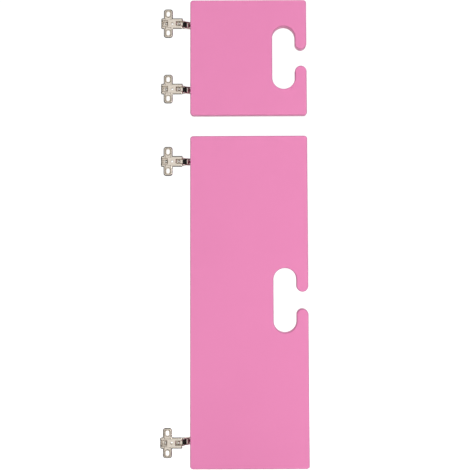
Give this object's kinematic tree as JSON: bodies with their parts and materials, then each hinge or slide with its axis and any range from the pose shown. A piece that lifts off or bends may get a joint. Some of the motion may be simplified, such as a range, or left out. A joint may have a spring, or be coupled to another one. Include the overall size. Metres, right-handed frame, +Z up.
{
  "type": "cupboard door set",
  "caption": "Square and tall cupboard doors in pink foil with C-shaped finger cut-outs, held open on cross-plate concealed hinges.",
  "frame": {"origin": "on the base of the lowest mounting plate, at the middle of its two screw slots, which is the cabinet side's inner face", "axes": "+Z up, +X from the hinges towards the finger cut-outs, -Y out of the doors' fronts while they stand open"},
  "size_m": [0.2445, 0.028, 0.7745],
  "materials": {
    "foil_board": "matt pink foil over board, white back",
    "plated_steel": "satin nickel plate",
    "bright_steel": "bright zinc-plated screws and rivets",
    "dark_steel": "blackened"
  },
  "bodies": {
    "hinge_mounts": {"tall_door_bottom_hinge_mounting_plate": "plated_steel", "tall_door_bottom_hinge_arm": "plated_steel", "tall_door_bottom_hinge_fixing_screw": "bright_steel", "tall_door_bottom_hinge_side_screw": "bright_steel", "tall_door_bottom_hinge_outer_rivet": "bright_steel", "tall_door_bottom_hinge_inner_rivet": "bright_steel", "tall_door_top_hinge_mounting_plate": "plated_steel", "tall_door_top_hinge_arm": "plated_steel", "tall_door_top_hinge_fixing_screw": "bright_steel", "tall_door_top_hinge_side_screw": "bright_steel", "tall_door_top_hinge_outer_rivet": "bright_steel", "tall_door_top_hinge_inner_rivet": "bright_steel", "small_door_bottom_hinge_mounting_plate": "plated_steel", "small_door_bottom_hinge_arm": "plated_steel", "small_door_bottom_hinge_fixing_screw": "bright_steel", "small_door_bottom_hinge_side_screw": "bright_steel", "small_door_bottom_hinge_outer_rivet": "bright_steel", "small_door_bottom_hinge_inner_rivet": "bright_steel", "small_door_top_hinge_mounting_plate": "plated_steel", "small_door_top_hinge_arm": "plated_steel", "small_door_top_hinge_fixing_screw": "bright_steel", "small_door_top_hinge_side_screw": "bright_steel", "small_door_top_hinge_outer_rivet": "bright_steel", "small_door_top_hinge_inner_rivet": "bright_steel"},
    "tall_outer_links": {"tall_door_bottom_hinge_outer_link": "dark_steel", "tall_door_top_hinge_outer_link": "dark_steel"},
    "tall_inner_links": {"tall_door_bottom_hinge_inner_link": "plated_steel", "tall_door_top_hinge_inner_link": "plated_steel"},
    "tall_door": {"tall_door_panel": "foil_board", "tall_door_bottom_hinge_cup": "plated_steel", "tall_door_bottom_hinge_cup_pin": "bright_steel", "tall_door_bottom_hinge_cup_screw_lower": "bright_steel", "tall_door_bottom_hinge_cup_screw_upper": "bright_steel", "tall_door_top_hinge_cup": "plated_steel", "tall_door_top_hinge_cup_pin": "bright_steel", "tall_door_top_hinge_cup_screw_lower": "bright_steel", "tall_door_top_hinge_cup_screw_upper": "bright_steel"},
    "small_outer_links": {"small_door_bottom_hinge_outer_link": "dark_steel", "small_door_top_hinge_outer_link": "dark_steel"},
    "small_inner_links": {"small_door_bottom_hinge_inner_link": "plated_steel", "small_door_top_hinge_inner_link": "plated_steel"},
    "small_door": {"small_door_panel": "foil_board", "small_door_bottom_hinge_cup": "plated_steel", "small_door_bottom_hinge_cup_pin": "bright_steel", "small_door_bottom_hinge_cup_screw_lower": "bright_steel", "small_door_bottom_hinge_cup_screw_upper": "bright_steel", "small_door_top_hinge_cup": "plated_steel", "small_door_top_hinge_cup_pin": "bright_steel", "small_door_top_hinge_cup_screw_lower": "bright_steel", "small_door_top_hinge_cup_screw_upper": "bright_steel"}
  },
  "joints": [
    {"name": "tall_outer_link_pivot", "type": "hinge", "parent": "hinge_mounts", "child": "tall_outer_links", "pos_m": [0.025, 0.011, 0], "axis": [0, 0, 1], "range_deg": [-31.45, 1.34]},
    {"name": "tall_door_swing", "type": "hinge", "parent": "tall_outer_links", "child": "tall_door", "pos_m": [0.04505, 0.0101, 0], "axis": [0, 0, 1], "range_deg": [-5, 121.4]},
    {"name": "tall_inner_link_pivot", "type": "hinge", "parent": "hinge_mounts", "child": "tall_inner_links", "pos_m": [0.041, 0.023, 0], "axis": [0, 0, 1], "range_deg": [-31.17, 1.33]},
    {"name": "small_outer_link_pivot", "type": "hinge", "parent": "hinge_mounts", "child": "small_outer_links", "pos_m": [0.025, 0.011, 0.5825], "axis": [0, 0, 1], "range_deg": [-31.45, 1.34]},
    {"name": "small_door_swing", "type": "hinge", "parent": "small_outer_links", "child": "small_door", "pos_m": [0.04505, 0.0101, 0.5825], "axis": [0, 0, 1], "range_deg": [-5, 121.4]},
    {"name": "small_inner_link_pivot", "type": "hinge", "parent": "hinge_mounts", "child": "small_inner_links", "pos_m": [0.041, 0.023, 0.5825], "axis": [0, 0, 1], "range_deg": [-31.17, 1.33]}
  ],
  "couplings": [
    {"joint": "tall_outer_link_pivot", "follows": "tall_door_swing", "ratio": -0.25862},
    {"joint": "tall_inner_link_pivot", "follows": "tall_door_swing", "ratio": -0.25638},
    {"joint": "small_outer_link_pivot", "follows": "small_door_swing", "ratio": -0.25862},
    {"joint": "small_inner_link_pivot", "follows": "small_door_swing", "ratio": -0.25638}
  ]
}
